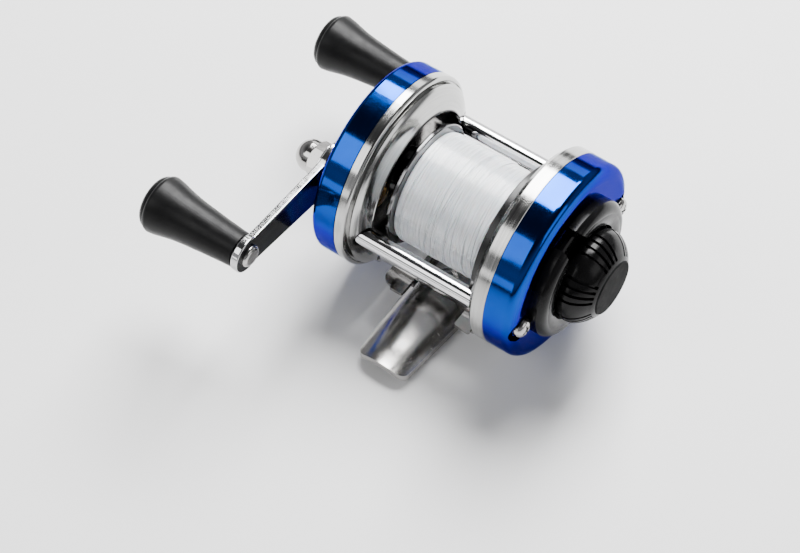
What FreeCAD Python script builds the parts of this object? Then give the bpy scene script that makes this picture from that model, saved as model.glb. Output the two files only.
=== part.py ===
import FreeCAD, Part
import math
import os

os.makedirs("parts", exist_ok=True)

V = FreeCAD.Vector

# ----------------------------------------------------------------------------
# Small drum reel.  +X is the spool axis (towards the round black control knob),
# +Y runs along the reel foot, +Z is up.  The row origin lies on the axis of the
# rod that the concave foot sits on, at mid length of the foot.
# All sizes in millimetres.  Section profiles below are given about the spool
# axis, and every finished piece is lifted by AXIS_Z at the end.
# ----------------------------------------------------------------------------
AXIS_Z = 31.9            # spool axis above the rod axis

# side plates and covers
R_SIDE = 23.0            # outer radius of both side plates
XL_COVER = -24.0         # outer edge of the left cover rim
XL_SEAM = -18.0          # left cover / left plate seam
XL_IN = -15.4            # inner face of the left plate rim
X_BOSS = -12.0           # front lip of the left plate's spool collar
R_BOSS = 21.7            # collar outer radius
R_MOUTH = 16.2           # collar mouth radius
XR_IN = 16.3             # inner face of the right ring
XR_SEAM = 20.5           # right ring / right cover seam
XR_FACE = 27.5           # flat face of the right cover
R_RING_IN = 16.8         # opening of the right ring

# pillars
PIL_R = 2.0
PIL_Y, PIL_Z = 18.6, -0.65       # side pillars
LOW_Y, LOW_Z = 10.7, -16.1       # lower pillars

# spool
R_LINE = 13.1
R_FLANGE = 14.5
X_LINE0, X_LINE1 = -9.6, 13.0
FLANGE_T = 1.3
R_DRUM = 16.8            # black drum at the right end of the spool
SHAFT_R = 1.5

# gear pair
MODULE = 0.5
Z_DRIVE, Z_PINION = 29, 12
SHIFT = 0.30
BACKLASH = 0.10
CD = MODULE * (Z_DRIVE + Z_PINION) / 2.0     # 10.25
CRANK_ANG = 161.95                           # direction of the crank axis from the spool axis
CY = CD * math.cos(math.radians(CRANK_ANG))
CZ = CD * math.sin(math.radians(CRANK_ANG))
GEAR_X0, GEAR_X1 = -21.5, -18.5

# crank
ARM_X0, ARM_X1 = -28.5, -26.7
ARM_L = 31.0             # crank axis to handle pin
ARM_ANG = 173.05
HUB_R = 6.6
EYE_R = 4.3
NUT_AF = 7.4

# handle knobs
HK_X0 = -28.9            # narrow end of a handle knob
HK_SEAM = -50.4          # joint between knob and end cap

# foot
FOOT_R = 9.0             # concave underside
FOOT_T = 1.4
FOOT_L = 64.4

# control knob side
R_CTRL = 16.2
R_KNOB = 10.9
X_KNOB_END = 38.0

parts = {}


# ------------------------------------------------------------------ helpers
def cyl(x0, x1, r, y=0.0, z=0.0):
    return Part.makeCylinder(r, x1 - x0, V(x0, y, z), V(1, 0, 0))


def box(x0, x1, y0, y1, z0, z1):
    return Part.makeBox(x1 - x0, y1 - y0, z1 - z0, V(x0, y0, z0))


def profile_wire(segs):
    """segs: first item (x, r); then (x, r) for a line or ((xm, rm), (x, r)) for an arc."""
    edges = []
    p = V(segs[0][0], 0, segs[0][1])
    first = p
    for s in segs[1:]:
        if isinstance(s[0], tuple):
            m = V(s[0][0], 0, s[0][1])
            q = V(s[1][0], 0, s[1][1])
            edges.append(Part.Arc(p, m, q).toBSpline().toShape())
        else:
            q = V(s[0], 0, s[1])
            if q.distanceToPoint(p) < 1e-6:
                continue
            edges.append(Part.makeLine(p, q))
        p = q
    if p.distanceToPoint(first) > 1e-6:
        edges.append(Part.makeLine(p, first))
    return Part.Wire(edges)


def rev(segs, y=0.0, z=0.0, ang=360.0, start=0.0):
    """Revolve a closed (x, r) profile about the X axis through (y, z)."""
    f = Part.Face(profile_wire(segs))
    if start:
        f = f.copy()
        f.rotate(V(0, 0, 0), V(1, 0, 0), start)
    s = f.revolve(V(0, 0, 0), V(1, 0, 0), ang)
    s = Part.Solid(s) if s.ShapeType != "Solid" else s
    if s.Volume < 0:
        s.reverse()
    s.translate(V(0, y, z))
    return s


def one(shape):
    """Return the single solid of a boolean result."""
    shape = shape.removeSplitter() if hasattr(shape, "removeSplitter") else shape
    sol = shape.Solids
    if len(sol) == 1:
        return sol[0]
    sol = sorted(sol, key=lambda a: -a.Volume)
    return sol[0]


def fuse(items):
    s = items[0]
    for i in items[1:]:
        s = s.fuse(i)
    return one(s)


def hexprism(x0, x1, af, y, z, rot=0.0):
    r = af / math.sqrt(3.0)
    pts = [V(x0, y + r * math.cos(math.radians(rot + 60 * k)), z + r * math.sin(math.radians(rot + 60 * k)))
           for k in range(7)]
    return Part.Face(Part.makePolygon(pts)).extrude(V(x1 - x0, 0, 0))


def polar(r, ang):
    return r * math.cos(math.radians(ang)), r * math.sin(math.radians(ang))


def put(name, shape):
    parts[name] = shape


# ------------------------------------------------------------------ gears
def gear(z, shift, x0, x1, phase_deg, bore, y, zc, ra_cut=0.0):
    m, al = MODULE, math.radians(20.0)
    rp = m * z / 2.0
    rb = rp * math.cos(al)
    ra = m * (z / 2.0 + 1.0 + shift) - ra_cut
    rf = m * (z / 2.0 - 1.25 + shift)
    s = m * (math.pi / 2.0 + 2.0 * shift * math.tan(al)) - BACKLASH / 2.0
    inv = lambda a: math.tan(a) - a
    half_p = s / (2.0 * rp)

    def half_at(r):
        if r <= rb:
            return half_p + inv(al)
        a = math.acos(rb / r)
        return half_p + inv(al) - inv(a)
    n = 7
    r0 = max(rf, rb)
    radii = [r0 + (ra - r0) * k / (n - 1) for k in range(n)]
    if rf < rb:
        radii = [rf] + radii
    pts = []
    pitch = 2 * math.pi / z
    for t in range(z):
        c = math.radians(phase_deg) + t * pitch
        up = [(r, c - half_at(r)) for r in radii]
        dn = [(r, c + half_at(r)) for r in reversed(radii)]
        for r, a in up + dn:
            pts.append(V(x0, r * math.cos(a), r * math.sin(a)))
    pts.append(pts[0])
    g = Part.Face(Part.makePolygon(pts)).extrude(V(x1 - x0, 0, 0))
    g.translate(V(0, y, zc))
    if bore > 0:
        g = g.cut(cyl(x0 - 1, x1 + 1, bore, y, zc))
    return one(g)


# ------------------------------------------------------------------ left frame plate
left = rev([(XL_SEAM, 0.0), (XL_SEAM, R_SIDE - 0.25), (XL_SEAM + 0.25, R_SIDE), (XL_IN - 0.7, R_SIDE),
            ((XL_IN - 0.24, R_SIDE - 0.26), (XL_IN, R_SIDE - 0.8)), (XL_IN - 0.25, 21.95), (XL_IN - 0.25, 21.0),
            (-14.9, 21.0), (-14.9, R_BOSS - 0.2), (-14.6, R_BOSS), ((-13.98, 20.95), (-13.5, 20.1)), ((-12.98, 19.0), (-12.6, 17.9)),
            (X_BOSS - 0.25, 16.9), ((X_BOSS, 16.6), (X_BOSS - 0.02, 16.38)), (X_BOSS - 0.3, R_MOUTH), (XL_IN - 0.1, R_MOUTH), (XL_IN - 0.1, 6.0),
            (-13.9, 5.2), (-13.9, 0.0)])
cuts = []
for sy in (-1, 1):
    # pockets around the pillar ends in the collar
    inside = cyl(XL_IN - 1, X_BOSS + 5, R_BOSS + 0.35)
    cuts.append(cyl(XL_IN, X_BOSS + 4, 2.6, sy * PIL_Y, PIL_Z).common(inside))
    cuts.append(cyl(XL_IN, X_BOSS + 4, 3.45, sy * LOW_Y, LOW_Z).common(inside))
    cuts.append(cyl(XL_SEAM - 1, XL_IN + 1, 1.25, sy * PIL_Y, PIL_Z))
    cuts.append(cyl(XL_SEAM - 1, XL_IN + 1, 1.25, sy * LOW_Y, LOW_Z))
    cuts.append(cyl(XL_SEAM - 1, XL_SEAM + 1.25, 2.05, sy * PIL_Y, PIL_Z))
    cuts.append(cyl(XL_SEAM - 1, XL_SEAM + 1.25, 2.05, sy * LOW_Y, LOW_Z))
# seats for the spool bush and the crank bush
cuts.append(cyl(XL_SEAM - 1, -12.0, 2.75))
cuts.append(cyl(XL_SEAM - 1, XL_IN + 0.9, 3.25, CY, CZ))
COVER_SCREWS = [polar(17.6, a) for a in (62.0, 252.0, 336.0)]
for (y, z) in COVER_SCREWS:
    cuts.append(cyl(XL_SEAM - 1, XL_IN - 0.5, 1.05, y, z))
for c in cuts:
    left = left.cut(c)
put("left_frame_plate", one(left))

# ------------------------------------------------------------------ right frame ring
ring = rev([(XR_IN, R_RING_IN + 0.3), (XR_IN, R_SIDE - 1.1), (XR_IN + 1.1, R_SIDE),
            (XR_SEAM - 0.2, R_SIDE), (XR_SEAM, R_SIDE - 0.2), (XR_SEAM, R_RING_IN + 0.3), (XR_SEAM - 0.3, R_RING_IN),
            (XR_IN + 0.3, R_RING_IN)])
for sy in (-1, 1):
    ring = ring.cut(cyl(XR_IN - 1, XR_SEAM + 1, 1.25, sy * PIL_Y, PIL_Z))
    ring = ring.cut(cyl(XR_IN - 1, XR_SEAM + 1, 1.25, sy * LOW_Y, LOW_Z))
    ring = ring.cut(cyl(XR_SEAM - 1.25, XR_SEAM + 1, 2.05, sy * LOW_Y, LOW_Z))
put("right_frame_ring", one(ring))


# ------------------------------------------------------------------ pillars
def pillar(y, z, collar):
    prof = [(XL_IN, 0.0), (XL_IN, PIL_R), (XR_IN, PIL_R), (XR_IN, 0.0)]
    if collar:
        prof = [(XL_IN, 0.0), (XL_IN, 2.7), (XL_IN + 1.6, 2.7), (XL_IN + 1.9, PIL_R), (XR_IN - 1.2, PIL_R),
                (XR_IN - 1.0, 2.3), (XR_IN, 2.3), (XR_IN, 0.0)]
    s = rev(prof, y, z)
    dr = 3.4 if collar else 7.0
    s = s.cut(cyl(XL_IN - 1, XL_IN + (5.9 if collar else 7.0), 1.25, y, z))
    s = s.cut(cyl(XR_IN - dr, XR_IN + 1, 1.25, y, z))
    if not collar:
        s = s.cut(cyl(X_LINE1 - 0.3, XR_IN + 1, R_DRUM + 0.2))      # relief along the drum
    if collar:
        for xs in (-8.3, 12.0):
            s = s.cut(Part.makeCylinder(0.82, 3.0, V(xs, y, z - 2.4), V(0, 0, 1)))
    return one(s)


put("front_pillar", pillar(-PIL_Y, PIL_Z, False))
put("rear_pillar", pillar(PIL_Y, PIL_Z, False))
put("lower_front_pillar", pillar(-LOW_Y, LOW_Z, True))
put("lower_rear_pillar", pillar(LOW_Y, LOW_Z, True))


def sunk_screw(x_head, x_tip, y, z, direction):
    """Flush cheese-head screw; direction +1 points the tip to +X."""
    if direction > 0:
        s = cyl(x_head, x_head + 1.2, 2.0, y, z).fuse(cyl(x_head + 1.2, x_tip, 1.2, y, z))
        slot = box(x_head - 0.2, x_head + 0.5, y - 2.2, y + 2.2, z - 0.25, z + 0.25)
    else:
        s = cyl(x_head - 1.2, x_head, 2.0, y, z).fuse(cyl(x_tip, x_head - 1.2, 1.2, y, z))
        slot = box(x_head - 0.5, x_head + 0.2, y - 2.2, y + 2.2, z - 0.25, z + 0.25)
    return one(s.cut(slot))


scr = []
for (y, z) in ((-PIL_Y, PIL_Z), (PIL_Y, PIL_Z), (-LOW_Y, LOW_Z), (LOW_Y, LOW_Z)):
    scr.append(sunk_screw(XL_SEAM, XL_IN + 5.5, y, z, 1))
put("left_pillar_screws", Part.makeCompound(scr))
scr = []
for (y, z) in ((-LOW_Y, LOW_Z), (LOW_Y, LOW_Z)):
    scr.append(sunk_screw(XR_SEAM, XR_IN - 3.2, y, z, -1))
put("right_pillar_screws", Part.makeCompound(scr))

# ------------------------------------------------------------------ foot bridge and foot
# One bent plate: a floor riveted to the foot's crown, two walls, and a flange at each side
# on which the lower pillars lie in shallow grooves.
ROD_Z = -AXIS_Z                     # rod axis height in the spool-axis frame
CROWN = ROD_Z + FOOT_R + FOOT_T
FL_Z0, FL_Z1 = -19.0, -17.8         # flange underside and top
WALL = 1.2
BXL, BXR = -4.8, 9.0                # inner faces of the two walls
FLOOR_TOP = CROWN + 1.2
RIVETS = [(0.0, -6.2), (0.0, 6.2)]
BR_SCREWS = [(-8.3, -LOW_Y), (-8.3, LOW_Y), (12.0, -LOW_Y), (12.0, LOW_Y)]


def slab(x0, x1, y0, y1, z0, z1, r, corners):
    """Flat plate with rounded vertical corners; corners is a list of (sx, sy)."""
    s = box(x0, x1, y0, y1, z0, z1)
    for sx, sy in corners:
        cx = (x1 - r) if sx > 0 else (x0 + r)
        cy = (y1 - r) if sy > 0 else (y0 + r)
        q = box(cx if sx > 0 else cx - r - 1, cx + r + 1 if sx > 0 else cx,
                cy if sy > 0 else cy - r - 1, cy + r + 1 if sy > 0 else cy, z0 - 1, z1 + 1)
        q = q.cut(Part.makeCylinder(r, z1 - z0 + 4, V(cx, cy, z0 - 2), V(0, 0, 1)))
        s = s.cut(q)
    return s


pieces = [box(BXL - WALL, 6.0, -8.4, 8.4, CROWN - 1.6, FLOOR_TOP), box(BXL - WALL, BXR + WALL, -8.4, 8.4, CROWN, FLOOR_TOP),
          box(BXL - WALL, BXL, -12.4, 12.4, FLOOR_TOP - 0.4, FL_Z1), box(BXR, BXR + WALL, -12.4, 12.4, FLOOR_TOP - 0.4, FL_Z1)]
for sy in (-1, 1):
    y0, y1 = (8.0, 15.9) if sy > 0 else (-15.9, -8.0)
    pieces.append(slab(-10.9, BXL, y0, y1, FL_Z0, FL_Z1 - 0.45, 2.2, [(-1, sy)]))
    pieces.append(slab(BXR, 13.7, y0, y1, FL_Z0, FL_Z1 - 0.45, 0.6, [(1, sy)]))
    y0, y1 = (8.0, 16.8) if sy > 0 else (-16.8, -8.0)
    pieces.append(slab(-8.2, BXL, y0, y1, FL_Z0 + 0.25, FL_Z1, 0.35, [(-1, sy), (1, sy)]))
    pieces.append(slab(BXR, 12.9, y0, y1, FL_Z0 + 0.25, FL_Z1, 0.35, [(-1, sy), (1, sy)]))
bridge = fuse(pieces)
bridge = bridge.cut(Part.makeCylinder(FOOT_R + FOOT_T, 60, V(0, -30, ROD_Z), V(0, 1, 0)))
for sy in (-1, 1):
    bridge = bridge.cut(cyl(-16, 17, PIL_R, sy * LOW_Y, LOW_Z))
for (x, y) in RIVETS:
    bridge = bridge.cut(Part.makeCylinder(1.5, 12, V(x, y, -28), V(0, 0, 1)))
for (x, y) in BR_SCREWS:
    bridge = bridge.cut(Part.makeCylinder(0.85, 6, V(x, y, -22), V(0, 0, 1)))
put("foot_bridge", one(bridge))
put("bridge_screws", Part.makeCompound([
    one(Part.makeCylinder(0.8, 3.3, V(x, y, FL_Z0), V(0, 0, 1)).fuse(Part.makeCylinder(1.5, 0.9, V(x, y, FL_Z0 - 0.9), V(0, 0, 1)))
        .cut(box(x - 2, x + 2, y - 0.2, y + 0.2, FL_Z0 - 1.2, FL_Z0 - 0.5))) for (x, y) in BR_SCREWS]))

# foot: a curved strip, widest in the middle, with rounded ends
tube = Part.makeCylinder(FOOT_R + FOOT_T, FOOT_L + 2, V(0, -FOOT_L / 2 - 1, ROD_Z), V(0, 1, 0))
tube = tube.cut(Part.makeCylinder(FOOT_R, FOOT_L + 4, V(0, -FOOT_L / 2 - 2, ROD_Z), V(0, 1, 0)))
W1, W2 = 7.45, 6.3      # half widths up to 11 mm from the middle, and near the ends
YW = 11.0
YE = FOOT_L / 2


RC = 2.4
edges = []
edges.append(Part.makeLine(V(W1, -YW, -40), V(W1, YW, -40)))
edges.append(Part.makeLine(V(W1, YW, -40), V(W2, YE - RC, -40)))
edges.append(Part.Arc(V(W2, YE - RC, -40), V(W2 - RC * 0.36, YE - RC * 0.30, -40), V(W2 - RC, YE - 0.15, -40)).toShape())
edges.append(Part.Arc(V(W2 - RC, YE - 0.15, -40), V(0, YE, -40), V(-W2 + RC, YE - 0.15, -40)).toShape())
edges.append(Part.Arc(V(-W2 + RC, YE - 0.15, -40), V(-W2 + RC * 0.36, YE - RC * 0.30, -40), V(-W2, YE - RC, -40)).toShape())
edges.append(Part.makeLine(V(-W2, YE - RC, -40), V(-W1, YW, -40)))
edges.append(Part.makeLine(V(-W1, YW, -40), V(-W1, -YW, -40)))
edges.append(Part.makeLine(V(-W1, -YW, -40), V(-W2, -YE + RC, -40)))
edges.append(Part.Arc(V(-W2, -YE + RC, -40), V(-W2 + RC * 0.36, -YE + RC * 0.30, -40), V(-W2 + RC, -YE + 0.15, -40)).toShape())
edges.append(Part.Arc(V(-W2 + RC, -YE + 0.15, -40), V(0, -YE, -40), V(W2 - RC, -YE + 0.15, -40)).toShape())
edges.append(Part.Arc(V(W2 - RC, -YE + 0.15, -40), V(W2 - RC * 0.36, -YE + RC * 0.30, -40), V(W2, -YE + RC, -40)).toShape())
edges.append(Part.makeLine(V(W2, -YE + RC, -40), V(W1, -YW, -40)))
outline = Part.Face(Part.Wire(edges)).extrude(V(0, 0, 25))
foot = tube.common(outline)
foot = one(foot.common(box(-12, 12, -40, 40, ROD_Z + 1.0, -15)))
for (x, y) in RIVETS:
    foot = foot.cut(Part.makeCylinder(1.5, 12, V(x, y, -28), V(0, 0, 1)))
put("reel_foot", one(foot))

riv = []
rod = Part.makeCylinder(FOOT_R, 60, V(0, -30, ROD_Z), V(0, 1, 0))
for (x, y) in RIVETS:
    head = Part.makeCylinder(2.4, 0.35, V(x, y, FLOOR_TOP), V(0, 0, 1)).fuse(
        Part.makeCone(2.4, 1.4, 0.5, V(x, y, FLOOR_TOP + 0.35), V(0, 0, 1)))
    shank = Part.makeCylinder(1.45, FLOOR_TOP + 25.6, V(x, y, -25.6), V(0, 0, 1))
    riv.append(one(shank.fuse(head).cut(rod)))
put("foot_rivets", Part.makeCompound(riv))

# ------------------------------------------------------------------ left cover (gear housing)
lc = rev([(XL_SEAM, 21.1), (XL_SEAM, R_SIDE - 0.05), (XL_COVER + 1.1, R_SIDE - 0.05),
          ((XL_COVER + 0.3, R_SIDE - 0.45), (XL_COVER, R_SIDE - 1.4)), (XL_COVER, 20.6), (XL_COVER + 0.45, 20.1),
          (XL_COVER + 0.45, 19.5), (XL_COVER - 0.1, 19.0), ((-24.9, 14.0), (-25.4, 7.5)), (-25.4, 0.0),
          (-23.5, 0.0), (-23.5, 14.6), (-22.5, 15.4), (-22.5, 21.1)])
posts = [cyl(-23.9, XL_SEAM, 2.6, y, z) for (y, z) in COVER_SCREWS]
lc = fuse([lc] + posts)
lc = lc.fuse(cyl(-25.9, -22.2, 4.6, CY, CZ))
lc = lc.cut(cyl(-27, -20, 3.25, CY, CZ))
for (y, z) in COVER_SCREWS:
    lc = lc.cut(cyl(-27, XL_SEAM + 1, 1.15, y, z))
    lc = lc.cut(cyl(-27, -23.2, 2.3, y, z))
put("left_cover", one(lc))


def pan_screw(x_seat, x_tip, y, z, r_head, h_head, r_sh, sgn, rot=20.0):
    """Pan-head screw; the head stands on x_seat and points away from x_tip (sgn is the head direction)."""
    prof = [(0.0, 0.0), (0.0, r_head), (h_head * 0.45, r_head), ((h_head * 0.85, r_head * 0.80), (h_head, r_head * 0.45)), (h_head, 0.0)]
    hd = rev(prof)
    L = abs(x_seat - x_tip)
    sh = Part.makeCylinder(r_sh, L, V(-L, 0, 0), V(1, 0, 0))
    s = hd.fuse(sh)
    for a in (rot, rot + 90):
        b = box(h_head * 0.45, h_head + 1, -r_head * 0.62, r_head * 0.62, -0.22, 0.22)
        b.rotate(V(0, 0, 0), V(1, 0, 0), a)
        s = s.cut(b)
    s = one(s)
    if sgn < 0:
        s.rotate(V(0, 0, 0), V(0, 0, 1), 180)
    s.translate(V(x_seat, y, z))
    return s


put("left_cover_screws", Part.makeCompound(
    [pan_screw(-23.2, XL_IN - 0.7, y, z, 2.1, 1.3, 1.0, -1, 15 + 40 * k) for k, (y, z) in enumerate(COVER_SCREWS)]))

# ------------------------------------------------------------------ right cover
rc = rev([(XR_SEAM, 21.3), (XR_SEAM, R_SIDE - 0.05), (25.2, R_SIDE - 0.05), ((26.42, 22.5), (27.1, 21.5)),
          ((27.38, 20.9), (XR_FACE, 20.2)), (XR_FACE, 4.6), (31.6, 4.6), (31.6, 4.05), (32.3, 4.05), (32.3, 4.6), (33.9, 4.6), (34.1, 4.4), (34.1, 0.0), (26.3, 0.0), (26.3, 19.4),
          ((25.75, 20.75), (24.4, 21.3))])
for sy in (-1, 1):
    rc = rc.fuse(cyl(XR_SEAM, 26.5, 3.1, sy * (PIL_Y - 0.15), PIL_Z).common(rev([(XR_SEAM, 0), (XR_SEAM, 21.5), (24.8, 21.5), (26.1, 21.1), (26.7, 20.0), (26.7, 0)])))
for sy in (-1, 1):
    # thicker wall behind each screw recess
    rc = rc.fuse(cyl(24.7, 26.5, 4.4, sy * (PIL_Y + 0.3), PIL_Z).common(rev([(24.0, 0), (24.0, 21.5), (24.8, 21.5), (26.1, 21.1), (26.7, 20.0), (26.7, 0)])))
rc = rc.fuse(cyl(22.6, 27.0, 5.0))
for sy in (-1, 1):
    # round recess with a raised land under the screw head
    rc = rc.cut(cyl(25.7, 31, 3.5, sy * (PIL_Y + 0.3), PIL_Z).cut(cyl(25.0, 26.8, 2.55, sy * PIL_Y, PIL_Z)))
    rc = rc.cut(cyl(XR_SEAM - 1, 31, 1.25, sy * PIL_Y, PIL_Z))
rc = rc.cut(cyl(22.0, 27.5, 2.75))            # bush seat
rc = rc.cut(cyl(27.4, 35.0, 2.4))             # plunger guide
rc = rc.cut(cyl(21.0, 35.0, 1.8))
# key way that stops the plunger from turning
rc = rc.cut(box(27.4, 35.0, 2.0, 3.1, -0.6, 0.6))
CTRL_SCREWS = [polar(13.6, a) for a in (20.0, 200.0)]
for (y, z) in CTRL_SCREWS:
    rc = rc.cut(cyl(25.5, 29, 1.15, y, z))
put("right_cover", one(rc))
put("right_cover_screws", Part.makeCompound(
    [pan_screw(26.8, XR_IN - 5.5, sy * PIL_Y, PIL_Z, 2.35, 2.0, 1.2, 1, 30 + 25 * sy) for sy in (-1, 1)]))

# ------------------------------------------------------------------ black control cover (two raised lobes)
R_BASE = 13.4            # low round base between the lobes
base = rev([(XR_FACE, 4.7), (XR_FACE, R_BASE), (XR_FACE + 0.9, R_BASE), (XR_FACE + 1.3, R_BASE - 0.4), (XR_FACE + 1.3, 4.7)])
lobes = rev([(XR_FACE, 11.3), (XR_FACE, R_CTRL), (XR_FACE + 1.8, R_CTRL), ((XR_FACE + 2.95, 15.45), (XR_FACE + 3.4, 13.9)),
             ((XR_FACE + 3.5, 12.6), (XR_FACE + 3.2, 11.3))])


def gap(sg):
    """Straight-walled gap between the two lobes; sg = -1 turns it half a turn."""
    pts = [(-7.0, 22.0), (-7.0, 6.0), (3.8, 6.0), (-2.2, 16.2), (-5.6, 22.0), (-7.0, 22.0)]
    g = Part.Face(Part.makePolygon([V(XR_FACE - 1, sg * y, sg * z) for (y, z) in pts])).extrude(V(8, 0, 0))
    return g


ctrl = base.fuse(lobes.cut(gap(1)).cut(gap(-1)))
ctrl = one(ctrl)
for (y, z) in CTRL_SCREWS:
    ctrl = ctrl.cut(cyl(XR_FACE - 1, XR_FACE + 2.3, 1.05, y, z))
put("control_cover", one(ctrl))
cs = []
for (y, z) in CTRL_SCREWS:
    s = pan_screw(26.3, XR_FACE + 2.1, y, z, 1.9, 1.1, 1.0, -1, 10)
    cs.append(s)
put("control_cover_screws", Part.makeCompound(cs))

# ------------------------------------------------------------------ bushes
put("spool_bush_left", one(rev([(-17.8, 1.53), (-17.8, 2.7), (-13.9, 2.7), (-13.9, 3.6), (-13.3, 3.6), (-13.3, 1.53)])))
put("spool_bush_right", one(rev([(22.0, 1.53), (22.0, 3.6), (22.6, 3.6), (22.6, 2.7), (26.3, 2.7), (26.3, 1.53)])))
put("crank_bush_inner", one(rev([(XL_SEAM + 0.1, 2.03), (XL_SEAM + 0.1, 3.2), (XL_IN + 0.6, 3.2), (XL_IN + 0.6, 2.03)], CY, CZ)))
put("crank_bush_outer", one(rev([(-26.4, 2.03), (-26.4, 4.2), (-25.9, 4.4), (-25.9, 3.2), (-22.0, 3.2), (-22.0, 2.03)], CY, CZ)))

# ------------------------------------------------------------------ spool body
R_CORE = 7.0
XF = X_LINE0 - FLANGE_T              # outer face of the left flange
spool = rev([(-13.1, 1.5), (-13.1, 3.1), (XF, 3.4), (X_LINE0 - 0.4, 5.0), (X_LINE0 - 0.4, 12.2),
             (XF, 12.8), (XF, R_FLANGE - 0.6), (XF + 0.5, R_FLANGE - 0.05), (X_LINE0 - 0.2, R_FLANGE), (X_LINE0, R_FLANGE - 0.2),
             (X_LINE0 + 0.6, R_CORE), (X_LINE1 - 0.6, R_CORE), (X_LINE1, 12.4), (X_LINE1 + 1.0, 12.4),
             (X_LINE1 + 1.0, 5.0), (X_LINE1 + 2.5, 4.0), (21.8, 3.1), (21.8, 1.5)])
put("spool", one(spool))
drum = rev([(X_LINE1, 12.44), (X_LINE1, R_DRUM - 0.3), (X_LINE1 + 0.3, R_DRUM), (15.6, R_DRUM), (15.9, R_DRUM - 0.3), (15.9, 15.2),
            (14.9, 15.0), (14.9, 9.0), (X_LINE1 + 1.0, 9.0), (X_LINE1 + 1.0, 12.44)])
put("spool_brake_drum", one(drum))
line = rev([(X_LINE0 + 0.16, 12.3), ((X_LINE0 + 0.45, R_LINE - 0.2), (X_LINE0 + 1.3, R_LINE)), (X_LINE1 - 1.3, R_LINE),
            ((X_LINE1 - 0.45, R_LINE - 0.2), (X_LINE1 - 0.04, 12.3)), (X_LINE1 - 0.62, R_CORE + 0.02), (X_LINE0 + 0.62, R_CORE + 0.02)])
line = line.cut(parts["spool"])
put("line_winding", one(line))
shaft = rev([(-22.0, 0.0), (-22.0, 1.2), (-21.7, 1.5), (26.9, 1.5), (27.2, 1.1), (27.2, 0.0)])
put("spool_shaft", one(shaft))

# pinion on the left end of the spool shaft; phases put a gap and a tooth on the centre line
PH_D = CRANK_ANG + 180.0                      # drive gear: tooth pointing at the spool axis
PH_P = CRANK_ANG + 180.0 / Z_PINION           # pinion: gap pointing at the crank axis
put("pinion", gear(Z_PINION, SHIFT, GEAR_X0 + 0.1, GEAR_X1 - 0.1, PH_P, 1.5, 0.0, 0.0))
put("drive_gear", gear(Z_DRIVE, -SHIFT, GEAR_X0, GEAR_X1, PH_D, 2.0, CY, CZ, 0.04))

# ------------------------------------------------------------------ crank body
csh = rev([(-33.2, 0.0), (-33.2, 1.25), (-33.0, 1.45), (-28.7, 1.45), (-28.7, 1.5), (-26.6, 1.5), (-26.6, 2.0), (-15.7, 2.0), (-15.4, 1.7), (-15.4, 0.0)], CY, CZ)
sq = box(ARM_X0 - 0.2, ARM_X1 + 0.1, -1.5, 1.5, -1.5, 1.5)
sq.rotate(V(0, 0, 0), V(1, 0, 0), ARM_ANG)
sq.translate(V(0, CY, CZ))
csh = one(csh.fuse(sq))
put("crank_shaft", csh)

# arm: hub disc, tapered shanks, round eyes
DY, DZ = polar(1.0, ARM_ANG)
EYES = [(CY + ARM_L * DY, CZ + ARM_L * DZ), (CY - ARM_L * DY, CZ - ARM_L * DZ)]


def arm_outline():
    # local frame: a along the arm, b across
    hub_half = 4.9
    eye_half = 3.75
    a_h = math.sqrt(HUB_R ** 2 - hub_half ** 2)
    a_e = ARM_L - math.sqrt(EYE_R ** 2 - eye_half ** 2)

    def P(a, b):
        return V(ARM_X0, CY + a * DY - b * DZ, CZ + a * DZ + b * DY)
    ed = []
    ed.append(Part.Arc(P(a_h, hub_half), P(0, HUB_R), P(-a_h, hub_half)).toShape())
    ed.append(Part.makeLine(P(-a_h, hub_half), P(-a_e, eye_half)))
    ed.append(Part.Arc(P(-a_e, eye_half), P(-ARM_L - EYE_R, 0), P(-a_e, -eye_half)).toShape())
    ed.append(Part.makeLine(P(-a_e, -eye_half), P(-a_h, -hub_half)))
    ed.append(Part.Arc(P(-a_h, -hub_half), P(0, -HUB_R), P(a_h, -hub_half)).toShape())
    ed.append(Part.makeLine(P(a_h, -hub_half), P(a_e, -eye_half)))
    ed.append(Part.Arc(P(a_e, -eye_half), P(ARM_L + EYE_R, 0), P(a_e, eye_half)).toShape())
    ed.append(Part.makeLine(P(a_e, eye_half), P(a_h, hub_half)))
    return Part.Wire(ed)


arm = Part.Face(arm_outline()).extrude(V(ARM_X1 - ARM_X0, 0, 0))
try:
    sel = []
    for e in arm.Edges:
        xs = [v.X for v in e.Vertexes]
        if max(xs) - min(xs) < 1e-6:
            sel.append(e)
    arm_f = arm.makeFillet(0.35, sel)
    if arm_f.isValid() and arm_f.Volume > 0:
        arm = arm_f
except Exception as ex:
    print("arm fillet skipped", ex)
sqh = box(ARM_X0 - 1, ARM_X1 + 1, -1.5, 1.5, -1.5, 1.5)
sqh.rotate(V(0, 0, 0), V(1, 0, 0), ARM_ANG)
sqh.translate(V(0, CY, CZ))
arm = arm.cut(sqh)
for (y, z) in EYES:
    arm = arm.cut(cyl(ARM_X0 - 1, ARM_X1 + 1, 1.5, y, z))
put("crank_arm", one(arm))

put("crank_washer", one(rev([(-29.2, 1.6), (-29.2, 5.3), (-29.05, 5.5), (-28.5, 5.5), (-28.5, 2.2), (-28.75, 1.6)], CY, CZ)
                        .cut(sqh)))
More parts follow.
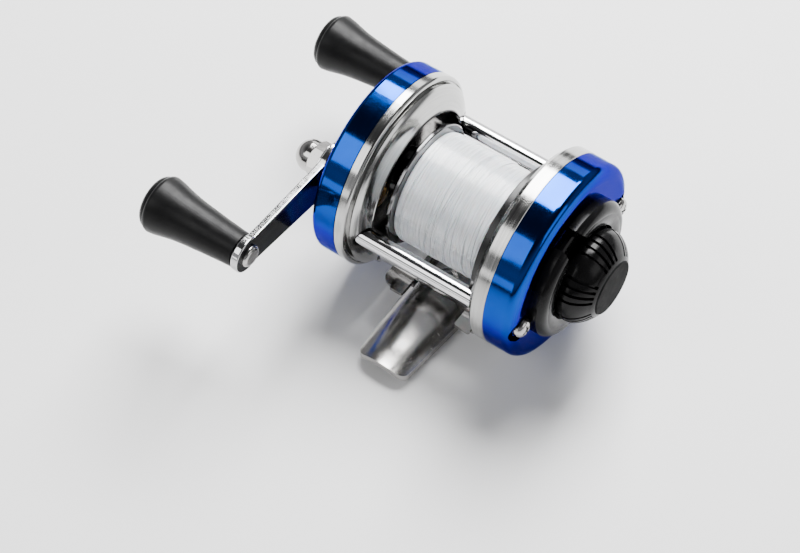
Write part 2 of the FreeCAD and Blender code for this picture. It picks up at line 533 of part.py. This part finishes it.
# domed cap nut
nx0, nx1 = -32.3, -29.2
nut = hexprism(nx0, nx1, NUT_AF, CY, CZ, 35.6)
ch = rev([(nx0, 0), (nx0, NUT_AF / 2 - 0.05), (nx0 + 0.55, NUT_AF / math.sqrt(3) + 0.02), (nx1 - 0.25, NUT_AF / math.sqrt(3) + 0.02), (nx1, NUT_AF / math.sqrt(3) - 0.35), (nx1, 0)], CY, CZ)
nut = nut.common(ch)
dome = rev([(nx0 - 4.3, 0.0), (nx0 - 4.3, 0.6), ((nx0 - 3.1, 2.9), (nx0 - 0.75, 3.68)), (nx0 + 0.2, 3.68), (nx0 + 0.2, 0.0)], CY, CZ)
nut = one(nut.fuse(dome))
nut = nut.cut(cyl(-33.6, -29.0, 1.5, CY, CZ))
put("crank_cap_nut", one(nut))

# handle pins: riveted into the arm, with a head on the inner face and a retaining head inside the knob
pins = []
for (y, z) in EYES:
    p = rev([(ARM_X1 + 1.05, 0.0), (ARM_X1 + 1.05, 1.7), ((ARM_X1 + 0.8, 2.3), (ARM_X1 + 0.35, 2.55)), (ARM_X1, 2.55), (ARM_X1, 1.5),
             (HK_SEAM + 1.3, 1.5), (HK_SEAM + 1.3, 2.5), (HK_SEAM + 0.2, 2.5), (HK_SEAM, 2.2), (HK_SEAM, 0.0)], y, z)
    pins.append(one(p))
put("handle_pins", Part.makeCompound(pins))


# ------------------------------------------------------------------ handle knobs
def hk(y, z):
    pts = [(HK_X0, 4.0), (-34.5, 4.45), (-38.5, 4.85), (-42.0, 5.24), (-45.5, 5.85), (-48.0, 6.42), (-49.3, 6.62)]
    bs = Part.BSplineCurve()
    bs.interpolate([V(p[0], 0, p[1]) for p in pts])
    e1 = bs.toShape()
    a = V(-49.3, 0, 6.62)
    b = V(HK_SEAM, 0, 6.28)
    m = V(-49.95, 0, 6.58)
    e2 = Part.Arc(a, m, b).toShape()
    path = [b, V(HK_SEAM, 0, 5.0), V(HK_SEAM + 1.65, 0, 5.0), V(HK_SEAM + 1.65, 0, 1.56), V(HK_X0, 0, 1.56), V(HK_X0, 0, 4.0)]
    ed = [e1, e2] + [Part.makeLine(path[i], path[i + 1]) for i in range(len(path) - 1)]
    f = Part.Face(Part.Wire(ed))
    s = f.revolve(V(0, 0, 0), V(1, 0, 0), 360)
    s = Part.Solid(s) if s.ShapeType != "Solid" else s
    if s.Volume < 0:
        s.reverse()
    s.translate(V(0, y, z))
    return s


for nm, (y, z) in (("front", EYES[0]), ("rear", EYES[1])):
    put("handle_knob_" + nm, hk(y, z))
    x = HK_SEAM
    prof = [(x + 1.5, 3.4), (x + 1.5, 4.98), (x, 4.98), (x, 6.14), ((x - 0.9, 5.86), (x - 1.45, 5.2)), ((x - 1.85, 2.9), (x - 2.0, 0.6)), (x - 2.0, 0.0), (x - 0.6, 0.0), (x - 0.6, 3.4)]
    put("knob_cap_" + nm, one(rev(prof, y, z)))

# ------------------------------------------------------------------ control knob, threaded insert, plunger, pad
KX0 = XR_FACE + 2.3
outer = [(KX0, 0.0), (KX0, 10.1), (KX0 + 0.5, 10.6), ((KX0 + 2.0, R_KNOB), (KX0 + 3.8, 10.7)), ((35.5, 9.45), (36.9, 7.8)),
         ((37.45, 7.0), (37.7, 6.45)), (X_KNOB_END, 6.25), (X_KNOB_END, 0.0)]
knob = rev(outer)
inner = [(KX0 - 1, 0.0), (KX0 - 1, 9.6), (KX0 + 0.5, 10.0), ((KX0 + 2.0, R_KNOB - 0.55), (KX0 + 3.7, 10.15)), ((35.15, 8.95), (36.5, 7.3)),
         ((36.95, 6.5), (37.2, 5.9)), (37.2, 0.0)]
inner_s = rev(inner)
shell = rev([(KX0 + 1.3, 0), (KX0 + 1.3, 15), (37.3, 15), (37.3, 0)]).cut(inner_s)
slots = []
for g in range(6):
    for k in range(4):
        a = g * 60.0 + (k - 1.5) * 10.0 - 1.5
        b = box(KX0 + 1.2, 37.45, -0.36, 0.36, 5.0, 14.0)
        b.rotate(V(0, 0, 0), V(1, 0, 0), a)
        slots.append(b)
sl = Part.makeCompound(slots)
cutter = shell.common(sl)
knob = knob.cut(cutter)
# hollow underside and the bore for the insert
knob = knob.cut(rev([(KX0 - 1, 6.5), (KX0 - 1, 8.6), (KX0 + 4.0, 8.6), (KX0 + 5.2, 7.4), (KX0 + 5.2, 6.5)]))
knob = knob.cut(cyl(KX0 - 1, 34.9, 4.65))
knob = knob.cut(rev([(31.5, 4.0), (31.5, 5.35), (32.4, 5.35), (32.4, 4.0)]))
knob = knob.cut(cyl(34.8, 36.4, 3.0))
put("control_knob", one(knob))
# spring clip in the spigot groove, which keeps the knob on
clip = rev([(31.65, 4.1), (31.65, 5.2), (32.25, 5.2), (32.25, 4.1)]).cut(box(31, 33, -0.7, 0.7, 0, 8))
put("knob_clip", one(clip))
# brass insert fixed in the knob; its stub carries the plunger thread
ins = rev([(34.3, 2.5), (34.3, 4.6), (34.9, 4.6), (34.9, 2.95), (36.4, 2.95), (36.4, 1.15), (34.3, 1.15)])
put("control_knob_insert", one(ins))
# plunger: keyed in the cover's spigot, threaded stem in the insert, pad at the shaft end
pl = fuse([cyl(28.2, 33.2, 2.34), cyl(33.1, 36.2, 1.1), box(28.4, 33.2, 1.9, 3.02, -0.54, 0.54)])
put("tension_plunger", pl)
put("friction_pad", one(cyl(27.55, 28.2, 1.7).fuse(cyl(28.1, 28.3, 0.4)).cut(pl)))

# ------------------------------------------------------------------ export
for name in sorted(parts):
    s = parts[name].copy()
    s.translate(V(0, 0, AXIS_Z))
    ok = s.isValid()
    print("%-24s solids %d vol %9.2f valid %s" % (name, len(s.Solids), s.Volume, ok))
    s.exportStep("parts/%s.step" % name)
print("nodes", len(parts))
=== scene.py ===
import math
import random

import bmesh
import bpy
from mathutils import Matrix, Vector


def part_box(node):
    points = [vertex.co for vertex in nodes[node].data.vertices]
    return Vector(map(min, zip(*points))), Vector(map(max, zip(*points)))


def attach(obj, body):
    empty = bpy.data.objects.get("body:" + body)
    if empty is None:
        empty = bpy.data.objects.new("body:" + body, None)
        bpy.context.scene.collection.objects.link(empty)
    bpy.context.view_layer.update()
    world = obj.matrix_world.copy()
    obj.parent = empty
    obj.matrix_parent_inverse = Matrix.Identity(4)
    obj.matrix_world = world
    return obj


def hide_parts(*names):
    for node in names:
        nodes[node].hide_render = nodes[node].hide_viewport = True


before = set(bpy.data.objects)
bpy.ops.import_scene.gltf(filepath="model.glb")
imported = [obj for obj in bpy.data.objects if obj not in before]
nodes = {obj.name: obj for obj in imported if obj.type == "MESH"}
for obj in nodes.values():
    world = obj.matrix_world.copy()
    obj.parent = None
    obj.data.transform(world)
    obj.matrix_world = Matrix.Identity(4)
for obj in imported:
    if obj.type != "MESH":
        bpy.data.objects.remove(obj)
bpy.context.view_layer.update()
MM = 0.001
AXIS_Z = 31.9                      # spool axis height in mm


# ---------------------------------------------------------------- material helpers
class Mat:
    """Small builder for node materials."""

    def __init__(self, name):
        self.m = bpy.data.materials.new(name)
        self.m.use_nodes = True
        self.nt = self.m.node_tree
        self.nt.nodes.clear()
        self.out = self.new("ShaderNodeOutputMaterial")
        self.bsdf = self.new("ShaderNodeBsdfPrincipled")
        self.link(self.bsdf.outputs[0], self.out.inputs[0])
        self.tc = self.new("ShaderNodeTexCoord")
        self.bumps = []

    def new(self, kind, **kw):
        n = self.nt.nodes.new(kind)
        for k, v in kw.items():
            setattr(n, k, v)
        return n

    def link(self, a, b):
        self.nt.links.new(a, b)

    def set(self, **kw):
        for k, v in kw.items():
            s = self.bsdf.inputs[k.replace("_", " ")]
            s.default_value = v

    def mapping(self, scale=(1, 1, 1), rot=(0, 0, 0), loc=(0, 0, 0)):
        mp = self.new("ShaderNodeMapping")
        mp.inputs["Scale"].default_value = scale
        mp.inputs["Rotation"].default_value = rot
        mp.inputs["Location"].default_value = loc
        self.link(self.tc.outputs["Object"], mp.inputs[0])
        return mp.outputs[0]

    def noise(self, scale, detail=4.0, rough=0.55, vec=None, dist=0.0):
        n = self.new("ShaderNodeTexNoise")
        n.inputs["Scale"].default_value = scale
        n.inputs["Detail"].default_value = detail
        n.inputs["Roughness"].default_value = rough
        n.inputs["Distortion"].default_value = dist
        self.link(vec if vec is not None else self.mapping(), n.inputs["Vector"])
        return n.outputs["Fac"]

    def voronoi(self, scale, vec=None, feature="F1", out="Distance"):
        n = self.new("ShaderNodeTexVoronoi", feature=feature)
        n.inputs["Scale"].default_value = scale
        self.link(vec if vec is not None else self.mapping(), n.inputs["Vector"])
        return n.outputs[out]

    def ramp(self, fac, stops):
        r = self.new("ShaderNodeValToRGB")
        el = r.color_ramp.elements
        while len(el) > 1:
            el.remove(el[-1])
        el[0].position = stops[0][0]
        el[0].color = col(stops[0][1])
        for p, c in stops[1:]:
            e = el.new(p)
            e.color = col(c)
        self.link(fac, r.inputs[0])
        return r.outputs[0]

    def range(self, v, a0, a1, b0, b1, clamp=True):
        r = self.new("ShaderNodeMapRange", clamp=clamp)
        for i, x in enumerate((a0, a1, b0, b1)):
            r.inputs[i + 1].default_value = x
        self.link(v, r.inputs[0])
        return r.outputs[0]

    def math(self, op, a, b=None, c=None):
        m = self.new("ShaderNodeMath", operation=op)
        for i, x in enumerate((a, b, c)):
            if x is None:
                continue
            if isinstance(x, (int, float)):
                m.inputs[i].default_value = x
            else:
                self.link(x, m.inputs[i])
        return m.outputs[0]

    def mix(self, fac, a, b, mode="MIX"):
        m = self.new("ShaderNodeMix", data_type="RGBA", blend_type=mode)
        for s, x in ((m.inputs[0], fac), (m.inputs[6], a), (m.inputs[7], b)):
            if isinstance(x, (int, float)):
                s.default_value = x
            elif isinstance(x, (tuple, list)):
                s.default_value = col(x)
            else:
                self.link(x, s)
        return m.outputs[2]

    def bump(self, height, strength, distance, target="Normal"):
        b = self.new("ShaderNodeBump")
        b.inputs["Strength"].default_value = strength
        b.inputs["Distance"].default_value = distance
        self.link(height, b.inputs["Height"])
        if self.bumps:
            self.link(self.bumps[-1].outputs[0], b.inputs["Normal"])
        self.bumps.append(b)
        return b

    def done(self):
        if self.bumps:
            self.link(self.bumps[-1].outputs[0], self.bsdf.inputs["Normal"])
        return self.m


def col(c):
    return tuple(c) if len(c) == 4 else (c[0], c[1], c[2], 1.0)


def radial_coords(k, cy=0.0, cz=AXIS_Z * MM):
    """Radius from, angle around and place along an axis parallel to X."""
    sep = k.new("ShaderNodeSeparateXYZ")
    k.link(k.tc.outputs["Object"], sep.inputs[0])
    y = k.math("SUBTRACT", sep.outputs[1], cy)
    z = k.math("SUBTRACT", sep.outputs[2], cz)
    r = k.math("SQRT", k.math("ADD", k.math("MULTIPLY", y, y), k.math("MULTIPLY", z, z)))
    a = k.math("ARCTAN2", z, y)
    return r, a, sep.outputs[0]


def combine(k, x, y, z):
    c = k.new("ShaderNodeCombineXYZ")
    for i, v in enumerate((x, y, z)):
        if isinstance(v, (int, float)):
            c.inputs[i].default_value = v
        else:
            k.link(v, c.inputs[i])
    return c.outputs[0]


# ---------------------------------------------------------------- materials
def make_chrome(name, base=(0.80, 0.80, 0.81), rough=0.075, brushed=0.0, turned=None, wear=0.5, painted_shade_at=None, pit=0.10):
    """Plated metal. The painted-shade argument names a part of the surface coloured black as painted shade: bore for
    the frame's deep mouth, which lies in shade, and arm_back for the crank arm's face towards the cover, where it
    stands for dark reflection and shade.
    """
    k = Mat(name)
    k.set(Metallic=1.0)
    big = k.noise(90, 4, 0.6)
    fine = k.noise(900, 3, 0.6)
    c = k.mix(k.range(big, 0.3, 0.75, 0.0, 1.0), tuple(x * 0.93 for x in base), base)
    pits = k.range(k.voronoi(1500), 0.0, pit, 0.0, 1.0)
    c = k.mix(1.0, c, k.ramp(pits, [(0.0, (0.40, 0.38, 0.35)), (1.0, (1, 1, 1))]), "MULTIPLY")
    painted_shade_mask = None
    # painted shade: inside the frame plate's deep mouth (r under 16.8 mm, x under -11.9 mm) the chrome is coloured
    # black where the recess lies in shade
    if painted_shade_at == "bore":
        rr, aa, xx = radial_coords(k)
        painted_shade_mask = k.math("MULTIPLY", k.math("LESS_THAN", rr, 16.80 * MM), k.math("LESS_THAN", xx, -11.90 * MM))
    # painted shade: the crank arm's face towards the cover is coloured black to stand for the dark reflection and shade
    # it shows
    elif painted_shade_at == "arm_back":
        rr, aa, xx = radial_coords(k)
        painted_shade_mask = k.math("GREATER_THAN", xx, ARM_BACK * MM)
    # the painted shade: black, non-metallic, low-specular colour in place of the chrome
    if painted_shade_mask is not None:
        c = k.mix(painted_shade_mask, c, (0.004, 0.004, 0.0045))
        k.link(k.math("SUBTRACT", 1.0, painted_shade_mask), k.bsdf.inputs["Metallic"])
        k.set(Specular_IOR_Level=0.25)
    k.link(c, k.bsdf.inputs["Base Color"])
    smudge = k.noise(260, 5, 0.7, dist=0.6)
    r = k.math("ADD", k.range(smudge, 0.35, 0.8, rough, rough + 0.10 * wear), k.range(fine, 0.3, 0.8, 0.0, 0.03))
    if turned is not None:
        rr, aa, xx = radial_coords(k, *turned)
        lines = k.noise(1.0, 2, 0.5, vec=combine(k, k.math("MULTIPLY", rr, 5200.0), k.math("MULTIPLY", aa, 1.2), k.math("MULTIPLY", xx, 5200.0)))
        r = k.math("ADD", r, k.range(lines, 0.3, 0.75, 0.0, 0.10 * brushed))
        k.bump(lines, 0.10 * brushed, 0.00004)
        tone = k.range(lines, 0.30, 0.70, 1.0 - 0.30 * brushed, 1.0)
        k.link(k.mix(1.0, c, combine(k, tone, tone, tone), "MULTIPLY"), k.bsdf.inputs["Base Color"])
    k.link(r, k.bsdf.inputs["Roughness"])
    k.bump(k.noise(140, 2, 0.5), 0.10, 0.0004)
    k.bump(fine, 0.05, 0.00003)
    return k.done()


def make_blue(name):
    k = Mat(name)
    k.set(Metallic=1.0, Coat_Weight=0.10, Coat_Roughness=0.03, Coat_IOR=1.5, Specular_Tint=(0.008, 0.12, 0.48, 1.0))
    big = k.noise(70, 3, 0.5)
    c = k.mix(k.range(big, 0.3, 0.7, 0.0, 1.0), (0.0002, 0.034, 0.24), (0.0004, 0.050, 0.31))
    specks = k.range(k.voronoi(1900), 0.0, 0.06, 0.0, 1.0)
    c = k.mix(k.math("SUBTRACT", 1.0, specks), c, (0.003, 0.12, 0.50))
    k.link(c, k.bsdf.inputs["Base Color"])
    smudge = k.noise(220, 5, 0.7, dist=0.5)
    k.link(k.range(smudge, 0.35, 0.8, 0.075, 0.15), k.bsdf.inputs["Roughness"])
    k.bump(k.noise(110, 2, 0.5), 0.14, 0.0004)
    k.bump(k.noise(2600, 2, 0.5), 0.03, 0.00002)
    return k.done()


def make_black(name, rough=0.30, grain=0.25, base=0.012, coat=0.0, spec=0.5, matte_from=None):
    """Moulded black. matte_from is the X in mm past which the surface is matte, as on a flat end face."""
    k = Mat(name)
    k.set(Metallic=0.0, Coat_Weight=coat, Coat_Roughness=0.12, Specular_IOR_Level=spec)
    n = k.noise(120, 4, 0.6)
    c = k.ramp(n, [(0.30, (base * 0.75, base * 0.75, base * 0.78)), (0.75, (base * 1.7, base * 1.7, base * 1.8))])
    dust = k.range(k.noise(4200, 2, 0.5), 0.70, 0.82, 0.0, 0.35)
    c = k.mix(dust, c, (base * 5, base * 5, base * 5))
    k.link(c, k.bsdf.inputs["Base Color"])
    s = k.noise(380, 5, 0.65, dist=0.4)
    r = k.range(s, 0.3, 0.8, rough - 0.06, rough + 0.12)
    if matte_from is not None:
        rr, aa, xx = radial_coords(k)
        r = k.math("ADD", r, k.math("MULTIPLY", k.math("GREATER_THAN", xx, matte_from * MM), 0.62))
    k.link(r, k.bsdf.inputs["Roughness"])
    k.bump(k.noise(3000, 3, 0.6), grain, 0.00003)
    k.bump(k.noise(260, 3, 0.5), 0.12, 0.0002)
    return k.done()


def make_metal(name, base, rough, centre=(0.0, AXIS_Z * MM)):
    k = Mat(name)
    k.set(Metallic=1.0)
    n = k.noise(160, 4, 0.6)
    c = k.mix(k.range(n, 0.3, 0.75, 0.0, 1.0), tuple(x * 0.8 for x in base), base)
    k.link(c, k.bsdf.inputs["Base Color"])
    rr, aa, xx = radial_coords(k, *centre)
    lines = k.noise(1.0, 2, 0.5, vec=combine(k, k.math("MULTIPLY", rr, 6000.0), aa, k.math("MULTIPLY", xx, 6000.0)))
    k.link(k.range(lines, 0.3, 0.75, rough, rough + 0.14), k.bsdf.inputs["Roughness"])
    k.bump(lines, 0.15, 0.00004)
    return k.done()


def make_line(name):
    k = Mat(name)
    k.set(Metallic=0.0, IOR=1.50, Transmission_Weight=0.0, Coat_Weight=1.0, Coat_Roughness=0.24, Coat_IOR=2.1,
          Subsurface_Weight=0.15, Subsurface_Scale=0.0006)
    n = k.noise(300, 3, 0.6)
    rr, aa, xx = radial_coords(k)
    band = k.noise(1.0, 3, 0.6, vec=combine(k, k.math("MULTIPLY", xx, 2600.0), k.math("MULTIPLY", aa, 1.5), 0.0))
    c = k.mix(k.range(band, 0.25, 0.8, 0.0, 1.0), (0.46, 0.48, 0.50), (0.90, 0.92, 0.95))
    c = k.mix(k.range(n, 0.35, 0.75, 0.0, 0.30), c, (0.64, 0.78, 0.90))
    k.link(c, k.bsdf.inputs["Base Color"])
    k.link(k.range(n, 0.3, 0.8, 0.14, 0.30), k.bsdf.inputs["Roughness"])
    k.bump(k.noise(2500, 2, 0.5), 0.08, 0.00003)
    return k.done()


def make_pad(name):
    k = Mat(name)
    n = k.noise(1800, 5, 0.7)
    k.link(k.ramp(n, [(0.3, (0.16, 0.10, 0.06)), (0.7, (0.36, 0.25, 0.15))]), k.bsdf.inputs["Base Color"])
    k.set(Roughness=0.85)
    k.bump(n, 0.5, 0.0001)
    return k.done()


CR = (-9.745 * MM, (AXIS_Z + 3.176) * MM)     # crank axis (y, z)
ARM_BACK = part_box("crank_arm")[1].x / MM - 0.03   # the arm's face towards the cover
M = {
    # painted shade: the plate's mouth interior (bore) is coloured black
    "plate": make_chrome("chrome_plate", base=(0.50, 0.50, 0.49), rough=0.08, brushed=0.8, turned=(0.0, AXIS_Z * MM), painted_shade_at="bore", pit=0.06),
    "ring": make_chrome("chrome_ring", base=(0.44, 0.44, 0.43), rough=0.09, brushed=0.9, turned=(0.0, AXIS_Z * MM), pit=0.06),
    "chrome": make_chrome("chrome_bright", base=(0.62, 0.62, 0.63), rough=0.05, wear=0.5, pit=0.06),
    "foot": make_chrome("chrome_foot", base=(0.36, 0.35, 0.34), rough=0.17, wear=1.3, pit=0.18),
    # painted shade: the arm's face towards the cover (arm_back) is coloured black for its dark reflection
    "arm": make_chrome("chrome_arm", base=(0.56, 0.56, 0.56), rough=0.07, wear=0.7, painted_shade_at="arm_back", pit=0.08),
    "washer": make_chrome("chrome_washer", base=(0.70, 0.70, 0.70), rough=0.07, wear=0.7),
    "nut": make_chrome("chrome_nut", base=(0.42, 0.41, 0.40), rough=0.12, wear=1.0, pit=0.14),
    "spool": make_chrome("spool_metal", base=(0.20, 0.20, 0.205), rough=0.07, brushed=0.8, turned=(0.0, AXIS_Z * MM)),
    "blue": make_blue("blue_cover"),
    "black": make_black("black_cover", rough=0.20, grain=0.12, base=0.0030, coat=0.0, spec=0.11),
    "knob": make_black("black_control_knob", rough=0.18, grain=0.10, base=0.0028, coat=0.0, spec=0.12, matte_from=37.7),
    "grip": make_black("black_grip", rough=0.36, grain=0.30, base=0.0030, spec=0.14),
    "drum": make_black("black_drum", rough=0.30, grain=0.2, base=0.003, spec=0.35),
    "steel": make_metal("turned_steel", (0.60, 0.60, 0.61), 0.22),
    "bronze": make_metal("turned_bronze", (0.68, 0.47, 0.20), 0.22),
    "bronze_crank": make_metal("turned_bronze_crank", (0.68, 0.47, 0.20), 0.22, CR),
    "line": make_line("nylon_line"),
    "pad": make_pad("fibre_pad"),
}
USE = {
    "left_frame_plate": "plate", "right_frame_ring": "ring", "front_pillar": "chrome", "rear_pillar": "chrome",
    "lower_front_pillar": "chrome", "lower_rear_pillar": "chrome", "left_pillar_screws": "steel", "right_pillar_screws": "steel",
    "foot_bridge": "foot", "bridge_screws": "steel", "reel_foot": "foot", "foot_rivets": "foot", "left_cover": "blue",
    "left_cover_screws": "nut", "right_cover": "blue", "right_cover_screws": "nut", "control_cover": "black",
    "control_cover_screws": "steel", "spool_bush_left": "bronze", "spool_bush_right": "bronze", "crank_bush_inner": "bronze_crank",
    "crank_bush_outer": "bronze_crank", "knob_clip": "steel", "spool": "spool", "spool_brake_drum": "drum", "line_winding": "line",
    "spool_shaft": "steel", "pinion": "bronze", "crank_arm": "arm", "crank_shaft": "steel", "drive_gear": "bronze_crank",
    "crank_washer": "washer", "crank_cap_nut": "nut", "handle_pins": "nut", "handle_knob_front": "grip", "knob_cap_front": "grip",
    "handle_knob_rear": "grip", "knob_cap_rear": "grip", "control_knob": "knob", "control_knob_insert": "bronze",
    "tension_plunger": "steel", "friction_pad": "pad",
}
for name, ob in nodes.items():
    m = M[USE[name]]
    if len(ob.material_slots) == 0:
        ob.data.materials.append(m)
    for s in ob.material_slots:
        s.material = m


# ---------------------------------------------------------------- wound line, drawn strand by strand
def strands(name, x0, x1, radius, seed=3):
    """Closed pack of line: many thin rounded turns side by side, some a little proud, with slack
    turns laid across them at a slight slope."""
    rnd = random.Random(seed)
    pitch = 0.25
    n = int((x1 - x0) / pitch)
    segs = 200
    prof = []
    for i in range(n):
        c = x0 + (i + 0.5) * (x1 - x0) / n
        h = rnd.uniform(-0.035, 0.02)
        edge = min(c - x0, x1 - c)
        fall = 0.45 * math.exp(-edge / 0.55)
        for q in (-0.46, -0.25, 0.0, 0.25, 0.46):
            bulge = 0.085 * math.sqrt(max(0.0, 1.0 - (q / 0.5) ** 2))
            prof.append((c + q * pitch, radius - 0.10 + bulge + h - fall))
    prof = [(x0, 11.6)] + prof + [(x1, 11.6)]
    bm = bmesh.new()
    rings = []
    for (x, r) in prof:
        ring = []
        ph = x * 1.7
        for s_ in range(segs):
            a = 2 * math.pi * s_ / segs
            rr = r + 0.012 * math.sin(3 * a + ph) + 0.010 * math.sin(7 * a + 2.3 * ph)
            ring.append(bm.verts.new((x * MM, rr * math.cos(a) * MM, (AXIS_Z + rr * math.sin(a)) * MM)))
        rings.append(ring)
    for i in range(len(rings) - 1):
        a, b = rings[i], rings[i + 1]
        for s_ in range(segs):
            t = (s_ + 1) % segs
            bm.faces.new((a[s_], a[t], b[t], b[s_]))
    # inner bore closes the pack on itself
    core = []
    for x in (x0 + 0.5, x1 - 0.5):
        core.append([bm.verts.new((x * MM, 7.05 * math.cos(2 * math.pi * s_ / segs) * MM,
                                   (AXIS_Z + 7.05 * math.sin(2 * math.pi * s_ / segs)) * MM)) for s_ in range(segs)])
    for s_ in range(segs):
        t = (s_ + 1) % segs
        bm.faces.new((rings[0][t], rings[0][s_], core[0][s_], core[0][t]))
        bm.faces.new((rings[-1][s_], rings[-1][t], core[1][t], core[1][s_]))
        bm.faces.new((core[0][t], core[0][s_], core[1][s_], core[1][t]))
    # crossing turns
    for k in range(26):
        xa = rnd.uniform(x0 + 0.8, x1 - 0.8)
        slope = rnd.choice((-1, 1)) * rnd.uniform(0.25, 1.1)
        a0 = rnd.uniform(0, 2 * math.pi)
        turn = rnd.uniform(1.6, 4.4)
        m = 90
        tube = []
        for i in range(m + 1):
            u = i / m
            a = a0 + turn * u
            x = xa + slope * turn * (u - 0.5)
            x = min(max(x, x0 + 0.7), x1 - 0.7)
            lift = 0.055 * min(1.0, 12 * u, 12 * (1 - u)) - 0.10 * (1 - min(1.0, 12 * u, 12 * (1 - u)))
            r = radius - 0.05 + lift
            ring = []
            for q in range(6):
                f = 2 * math.pi * q / 6
                rr = r + 0.07 * math.cos(f)
                ring.append(bm.verts.new(((x + 0.09 * math.sin(f)) * MM, rr * math.cos(a) * MM, (AXIS_Z + rr * math.sin(a)) * MM)))
            tube.append(ring)
        for i in range(m):
            for q in range(6):
                w = (q + 1) % 6
                bm.faces.new((tube[i][q], tube[i][w], tube[i + 1][w], tube[i + 1][q]))
        bm.faces.new(list(reversed(tube[0])))
        bm.faces.new(tube[-1])
    bmesh.ops.recalc_face_normals(bm, faces=bm.faces[:])
    me = bpy.data.meshes.new(name)
    bm.to_mesh(me)
    bm.free()
    for p_ in me.polygons:
        p_.use_smooth = True
    ob = bpy.data.objects.new(name, me)
    bpy.context.scene.collection.objects.link(ob)
    return ob


line_ob = strands("wound_line", -9.42, 12.94, 13.12)
line_ob.data.materials.append(M["line"])
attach(line_ob, "spool")
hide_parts("line_winding")

# ---------------------------------------------------------------- stage, lights, camera
def area(name, loc, target, size, power, color=(1, 1, 1), shape="RECTANGLE", size_y=None):
    L = bpy.data.lights.new(name, "AREA")
    L.shape = shape
    L.size = size
    if shape in ("RECTANGLE", "ELLIPSE"):
        L.size_y = size_y if size_y else size
    L.energy = power
    L.color = color
    o = bpy.data.objects.new(name, L)
    o.location = loc
    d = Vector(target) - Vector(loc)
    o.rotation_euler = d.to_track_quat("-Z", "Y").to_euler()
    bpy.context.scene.collection.objects.link(o)
    return o


FLOOR_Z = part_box("reel_foot")[0].z
bm = bmesh.new()
bmesh.ops.create_grid(bm, x_segments=8, y_segments=8, size=1.6)
me = bpy.data.meshes.new("floor")
bm.to_mesh(me)
bm.free()
floor = bpy.data.objects.new("floor", me)
floor.location = (0, 0, FLOOR_Z - 0.00002)
bpy.context.scene.collection.objects.link(floor)
kf = Mat("pale_floor")
nf = kf.noise(8, 3, 0.5)
kf.link(kf.ramp(nf, [(0.3, (0.86, 0.86, 0.86)), (0.7, (0.89, 0.89, 0.89))]), kf.bsdf.inputs["Base Color"])
kf.set(Roughness=0.8)
floor.data.materials.append(kf.done())



def panel(name, direction, dist, w, h, radiance, color=(1, 1, 1), target=(0.0, 0.0, 0.03)):
    """Flat soft light of a given brightness, facing the reel from a direction."""
    d = Vector(direction).normalized()
    t = Vector(target)
    return area(name, t + d * dist, t, w, radiance * math.pi * w * h, color, size_y=h)


panel("window", (-0.14, 0.52, 0.82), 0.62, 0.32, 0.46, 34.0)
panel("window_left", (-0.38, -0.62, 0.69), 0.62, 0.26, 0.30, 4.2)
panel("wall_right", (0.86, 0.12, 0.44), 0.60, 0.36, 0.26, 2.0)
panel("wall_back", (-0.36, 0.88, 0.30), 0.70, 0.34, 0.16, 3.2)
panel("low_front", (-0.30, -0.94, 0.12), 0.70, 0.40, 0.10, 2.6)

world = bpy.data.worlds.new("studio")
bpy.context.scene.world = world
world.use_nodes = True
wn = world.node_tree
wn.nodes.clear()
wo = wn.nodes.new("ShaderNodeOutputWorld")
bg = wn.nodes.new("ShaderNodeBackground")
tc = wn.nodes.new("ShaderNodeTexCoord")
sp = wn.nodes.new("ShaderNodeSeparateXYZ")
cr = wn.nodes.new("ShaderNodeValToRGB")
wn.links.new(tc.outputs["Generated"], sp.inputs[0])
mr = wn.nodes.new("ShaderNodeMapRange")
for q, v in enumerate((-1.0, 1.0, 0.0, 1.0)):
    mr.inputs[q + 1].default_value = v
wn.links.new(sp.outputs[2], mr.inputs[0])
wn.links.new(mr.outputs[0], cr.inputs[0])
e = cr.color_ramp.elements
e[0].position = 0.0
e[0].color = (0.05, 0.05, 0.05, 1)
e[1].position = 1.0
e[1].color = (0.05, 0.05, 0.053, 1)
for pos, v in ((0.50, 0.10), (0.56, 0.34), (0.66, 0.48), (0.80, 0.22), (0.88, 0.06)):
    q = e.new(pos)
    q.color = (v, v, v * 1.03, 1)
wn.links.new(cr.outputs[0], bg.inputs[0])
bg.inputs[1].default_value = 1.0
wn.links.new(bg.outputs[0], wo.inputs[0])

cam_data = bpy.data.cameras.new("cam")
cam_data.lens = 117.0
cam_data.sensor_width = 36.0
cam_data.clip_start = 0.01
cam_data.clip_end = 10.0
cam = bpy.data.objects.new("cam", cam_data)
right = Vector((0.81536, 0.57878, -0.01446)).normalized()
back = Vector((0.33732, -0.45462, 0.82434)).normalized()
up = back.cross(right).normalized()
right = up.cross(back).normalized()
R = Matrix((right, up, back)).transposed()
cam.matrix_world = Matrix.Translation(Vector((0.184602, -0.272475, 0.452264 + AXIS_Z * MM))) @ R.to_4x4()
bpy.context.scene.collection.objects.link(cam)
bpy.context.scene.camera = cam

bpy.context.view_layer.update()
